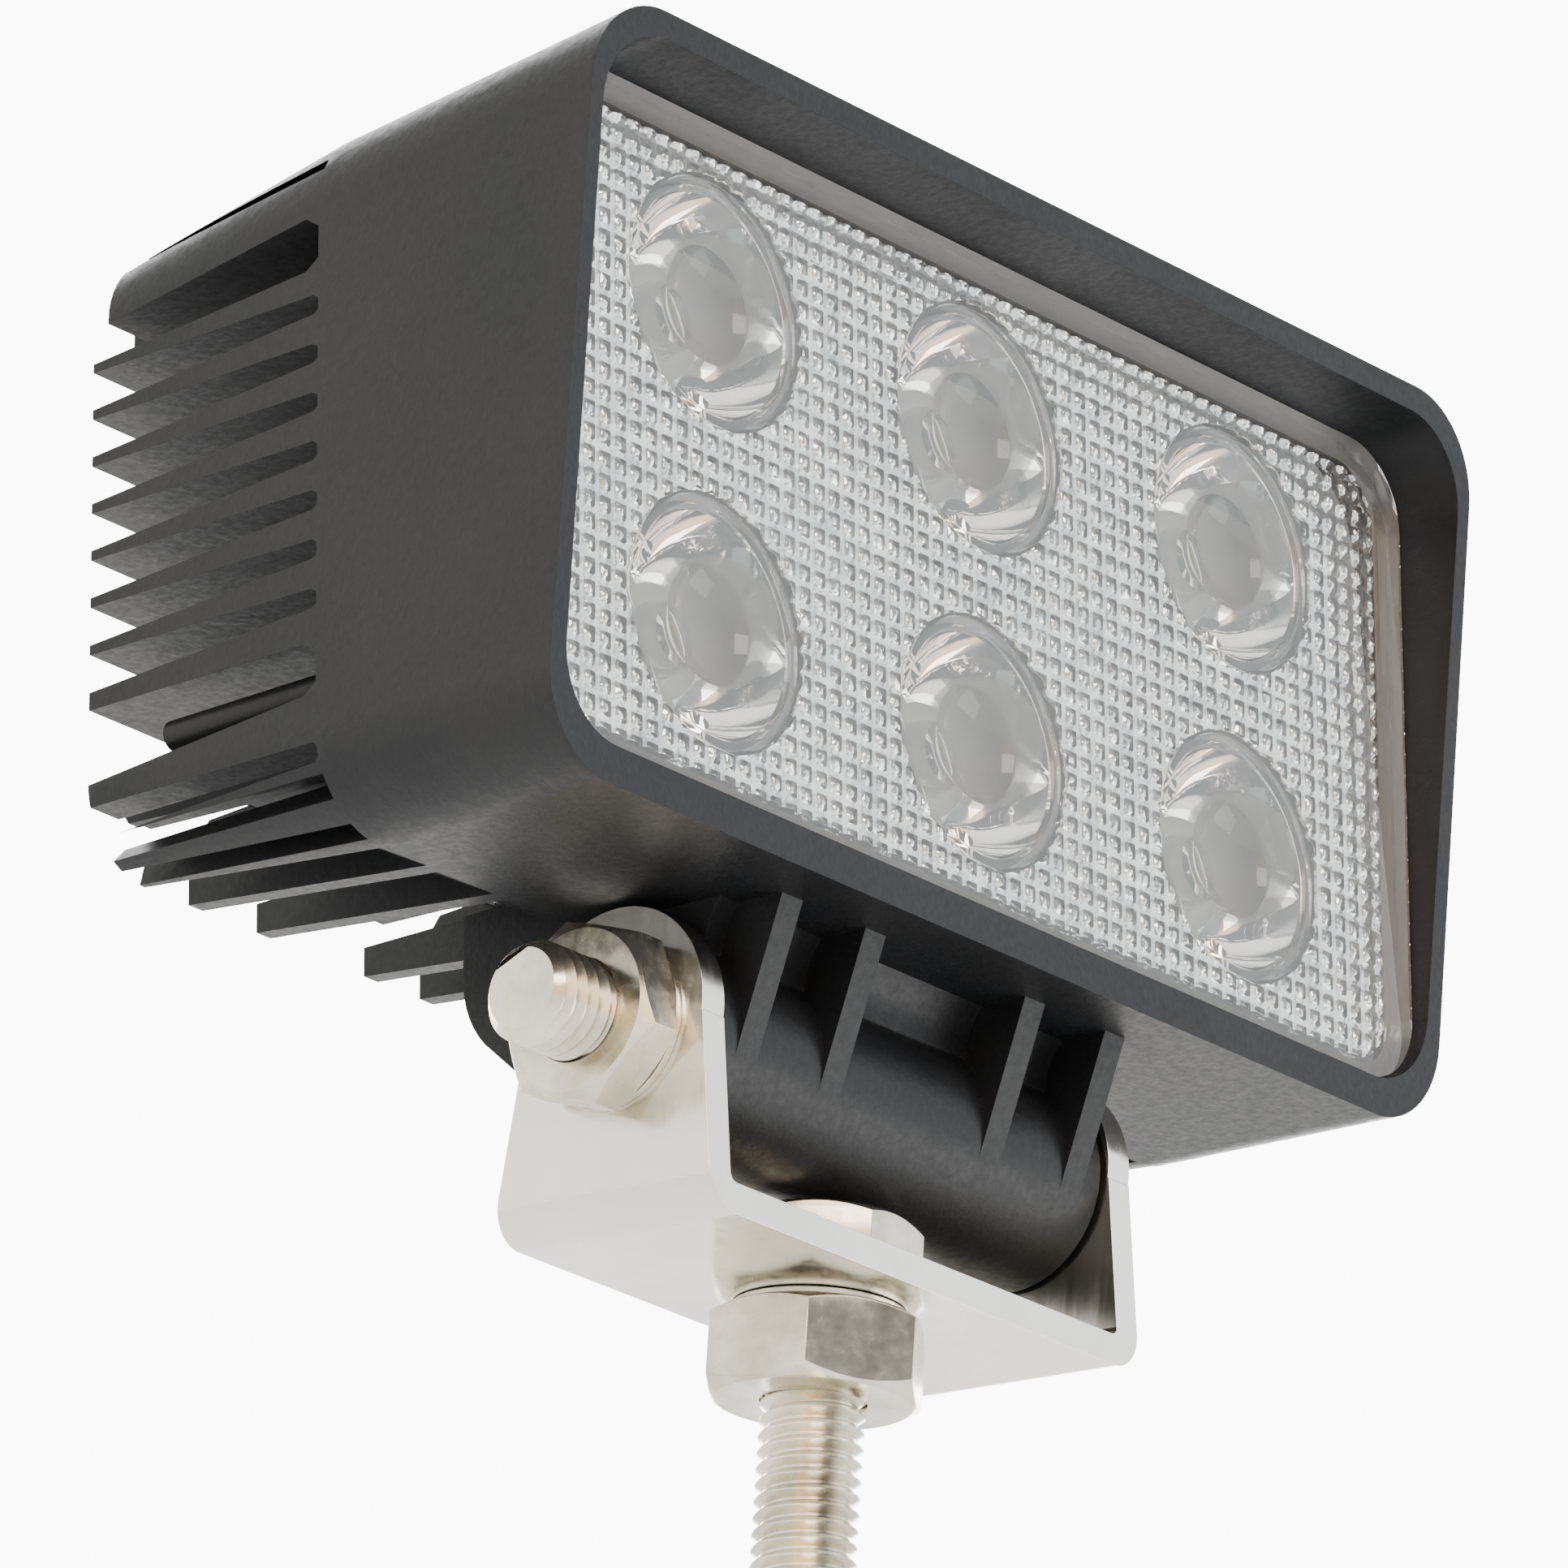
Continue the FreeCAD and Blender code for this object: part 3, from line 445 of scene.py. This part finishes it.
def pillowSheet(look):
    deselectAll()
    pitch = look["pitch"] * mm
    bpy.ops.mesh.primitive_grid_add(x_subdivisions=4, y_subdivisions=4, size=pitch)
    sheet = bpy.context.object
    sheet.name = "pillowSheet"
    bpy.ops.object.mode_set(mode="EDIT")
    bpy.ops.mesh.select_mode(type="VERT")
    bpy.ops.mesh.select_all(action="DESELECT")
    leaveEdit()
    raiseInside(sheet, look["domeReach"] * pitch, look["domeShare"] * look["rise"] * mm)
    raiseInside(sheet, look["topReach"] * pitch, look["topShare"] * look["rise"] * mm)
    for count, way in ((look["columns"], (1, 0, 0)), (look["rows"], (0, 1, 0))):
        applyModifier(sheet, "ARRAY", count=count, use_relative_offset=True, relative_offset_displace=way,
                      use_merge_vertices=True, merge_threshold=0.004 * mm)
    sheet.location = (-(look["columns"] - 1) * pitch / 2, -(look["rows"] - 1) * pitch / 2, 0)
    finishPlace(sheet)
    applyModifier(sheet, "SOLIDIFY", thickness=look["thickness"] * mm, offset=-1.0, use_even_offset=False)
    outward(sheet)
    return sheet


sheet = pillowSheet(plateLook)
deselectAll()
bpy.ops.mesh.primitive_cube_add(size=1, location=(0, 0, 0))
frameCut = bpy.context.object
frameCut.scale = (2 * plateLook["halfWidth"] * mm, 2 * plateLook["halfHeight"] * mm, 4 * mm)
finishPlace(frameCut)
bpy.ops.object.mode_set(mode="EDIT")
bpy.ops.mesh.select_mode(type="EDGE")
bpy.ops.mesh.select_all(action="DESELECT")
leaveEdit()
for edge in frameCut.data.edges:
    a, b = (frameCut.data.vertices[v].co for v in edge.vertices)
    edge.select = abs(a.z - b.z) > mm
bpy.ops.object.mode_set(mode="EDIT")
bpy.ops.mesh.bevel(offset=plateLook["corner"] * mm, segments=8)
leaveEdit()
cutBy(sheet, frameCut, "INTERSECT")
cutters = []
for x, z in opticCentres():
    deselectAll()
    bpy.ops.mesh.primitive_cylinder_add(vertices=64, radius=plateLook["holeRadius"] * mm, depth=6 * mm,
                                        location=(x * mm, (z - plateLook["midZ"]) * mm, 0))
    cutters.append(bpy.context.object)
cutBy(sheet, join("holeCutter", *cutters), "DIFFERENCE")
sheet.matrix_world = Matrix.Translation((0, plateLook["base"] * mm, plateLook["midZ"] * mm)) \
    @ Matrix.Rotation(math.radians(90), 4, "X")
finishPlace(sheet)
seatLamp(sheet)
tray = copyOfNode("reflector_tray", "traySkirt")
tidyFaces(tray, 0.6)
reflectorPlate = join("reflectorPlate", sheet, tray)
smooth(reflectorPlate, 30)
settle(reflectorPlate, "lamp", finish["bright_tray"], "bright_tray", "reflector_tray")
print("stage: pillow plate", len(reflectorPlate.data.polygons))

# optics

opticLook = ((0.0, 2.3), (1.6, 2.15), (3.0, 1.7), (4.1, 1.1), (4.6, 0.55), (4.9, 0.45), (8.6, 0.35),
             (8.85, 0.1), (9.0, 0.0), (9.55, 0.0), (9.75, 0.1), (9.88, 0.25), (9.9, 1.3), (9.3, 1.4), (9.0, 2.6),
             (8.4, 4.6), (7.6, 6.6), (6.6, 8.4), (5.5, 9.9), (4.6, 10.9), (3.2, 10.9), (3.05, 8.9), (2.9, 7.0),
             (2.2, 7.2), (1.2, 7.45), (0.0, 7.5))
opticMaster = turnedBlank("opticMaster", opticLook, 64)
opticMaster.matrix_world = Matrix.Rotation(math.radians(-90), 4, "X")
finishPlace(opticMaster)
outward(opticMaster)
for number, (x, z) in enumerate(opticCentres(), start=1):
    piece = copyOf(opticMaster, "optic%dFinished" % number)
    piece.location = (x * mm, opticPlace["front"] * mm, z * mm)
    finishPlace(piece)
    seatLamp(piece)
    smooth(piece, 28)
    settle(piece, "lamp", finish["optic_clear"], "optic_clear", "optic_%d" % number)
remove(opticMaster)
print("stage: optics")

# camera, light and floor

cameraPlace = {"at": (-713.49, -602.86, -264.74), "azimuth": -49.492, "elevation": -18.113,
               "roll": 3.659, "lens": 299.85}


def makeCamera(place):
    az, el = math.radians(place["azimuth"]), math.radians(place["elevation"])
    back = Vector((math.sin(az) * math.cos(el), -math.cos(az) * math.cos(el), math.sin(el)))
    data = bpy.data.cameras.new("camera")
    data.lens = place["lens"]
    data.sensor_width = 36
    data.clip_start = 0.01
    data.clip_end = 50
    data.dof.use_dof = False
    camera = bpy.data.objects.new("camera", data)
    bpy.context.scene.collection.objects.link(camera)
    turn = (-back).to_track_quat("-Z", "Y").to_matrix().to_4x4()
    camera.matrix_world = Matrix.Translation(Vector(place["at"]) * mm) @ turn \
        @ Matrix.Rotation(math.radians(place["roll"]), 4, "Z")
    bpy.context.scene.camera = camera


def makeLight(name, aim, look):
    data = bpy.data.lights.new(name, "AREA")
    data.shape = "RECTANGLE"
    data.size, data.size_y = look["size"]
    data.energy = look["power"]
    lamp = bpy.data.objects.new(name, data)
    bpy.context.scene.collection.objects.link(lamp)
    lamp.location = look["at"]
    lamp.rotation_euler = (Vector(aim) - Vector(look["at"])).to_track_quat("-Z", "Y").to_euler()


# directions are unit vectors from the lamp; each soft area runs from its edge to its middle
lightLook = {"room": 0.36, "roomColour": (0.93, 0.97, 1.0), "aim": (0, 0, 0.03),
             "key": {"at": (-0.55, -0.75, 0.55), "size": (0.5, 0.5), "power": 6.0},
             "fill": {"at": (0.6, -0.6, -0.25), "size": (0.6, 0.4), "power": 2.5}}
floorLook = {"drop": 0.62, "size": 12, "squares": 8}
softAreas = {
    "leftWall": {"towards": (-0.85, 0.50, 0.15), "edge": 0.25, "middle": 0.85, "strength": 1.7,
                 "colour": (1.0, 0.975, 0.92)},
    "backdrop": {"towards": (0.72, 0.62, 0.31), "edge": 0.72, "middle": 0.93, "strength": 9.0,
                 "colour": (1.0, 1.0, 1.0)},
    "lowerBack": {"towards": (0.60, 0.60, -0.50), "edge": 0.3, "middle": 0.8, "strength": 1.6,
                  "colour": (1.0, 0.99, 0.97)},
    "warmPanel": {"towards": (-0.72, -0.62, 0.31), "edge": 0.82, "middle": 0.93, "strength": 1.7,
                  "colour": (1.0, 0.58, 0.20)},
    "rightFront": {"towards": (0.75, -0.62, 0.20), "edge": 0.70, "middle": 0.95, "strength": 1.7,
                   "colour": (0.95, 0.98, 1.0)},
}


def softRoom(look, areas):
    room = bpy.data.worlds.new("softRoom")
    room.use_nodes = True
    tree, links = room.node_tree.nodes, room.node_tree.links
    place = tree.new("ShaderNodeTexCoord")
    total = tree["Background"]
    total.inputs["Color"].default_value = (*look["roomColour"], 1)
    total.inputs["Strength"].default_value = look["room"]
    for area in areas.values():
        facing = tree.new("ShaderNodeVectorMath")
        facing.operation = "DOT_PRODUCT"
        facing.inputs[1].default_value = Vector(area["towards"]).normalized()
        links.new(place.outputs["Generated"], facing.inputs[0])
        glow = tree.new("ShaderNodeBackground")
        glow.inputs["Color"].default_value = (*area["colour"], 1)
        links.new(remap(tree, links, facing.outputs["Value"], 0.0, area["strength"], area["edge"], area["middle"]),
                  glow.inputs["Strength"])
        both = tree.new("ShaderNodeAddShader")
        links.new(total.outputs[0], both.inputs[0])
        links.new(glow.outputs[0], both.inputs[1])
        total = both
    links.new(total.outputs[0], tree["World Output"].inputs["Surface"])
    bpy.context.scene.world = room


makeCamera(cameraPlace)
softRoom(lightLook, softAreas)
makeLight("keyLight", lightLook["aim"], lightLook["key"])
makeLight("fillLight", lightLook["aim"], lightLook["fill"])
deselectAll()
bpy.ops.mesh.primitive_grid_add(x_subdivisions=floorLook["squares"], y_subdivisions=floorLook["squares"],
                                size=floorLook["size"], location=(0, 0, -floorLook["drop"]))
floor = bpy.context.object
floor.name = "floor"
floor.data.materials.append(surface("paleFloor", (0.86, 0.86, 0.86), (0.88, 0.88, 0.88), 0.0, 0.7, 0.8,
                                    20, 0.05, patch=2))
print("stage: camera and light")
